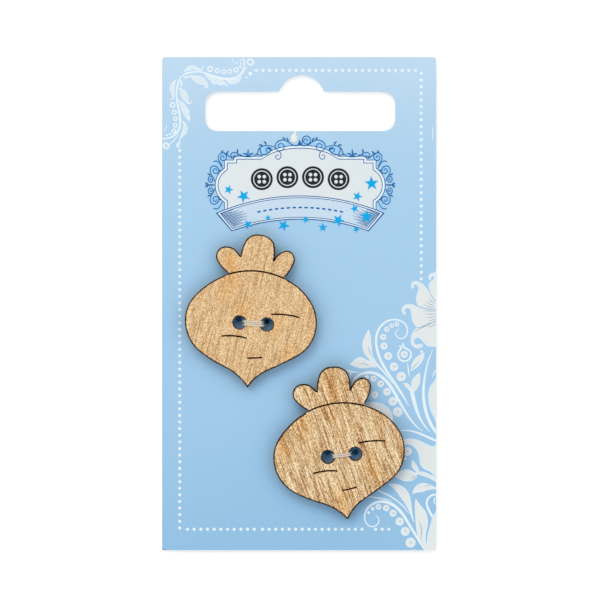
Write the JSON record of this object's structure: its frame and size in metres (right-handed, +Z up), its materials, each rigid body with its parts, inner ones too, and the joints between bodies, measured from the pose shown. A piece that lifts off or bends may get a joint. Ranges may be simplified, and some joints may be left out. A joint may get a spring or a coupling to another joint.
{
  "type": "card of buttons",
  "caption": "Flat retail card with a domed hang slot and laser-cut wooden turnip buttons sewn on through their holes.",
  "frame": {"origin": "middle of the card, on the surface that the card lies on, at the lowest point of the thread knots behind it", "axes": "+Z up from the surface through the card's printed face; +Y along the card towards the hang slot; +X to the right, seen from the printed face"},
  "size_m": [0.05, 0.09, 0.0049],
  "materials": {
    "printed_board": "satin",
    "laser_cut_plywood": "matte",
    "cotton_thread": "matte"
  },
  "bodies": {
    "root": {"backing_card": "printed_board", "upper_button": "laser_cut_plywood", "lower_button": "laser_cut_plywood", "upper_thread": "cotton_thread", "lower_thread": "cotton_thread"}
  },
  "joints": []
}
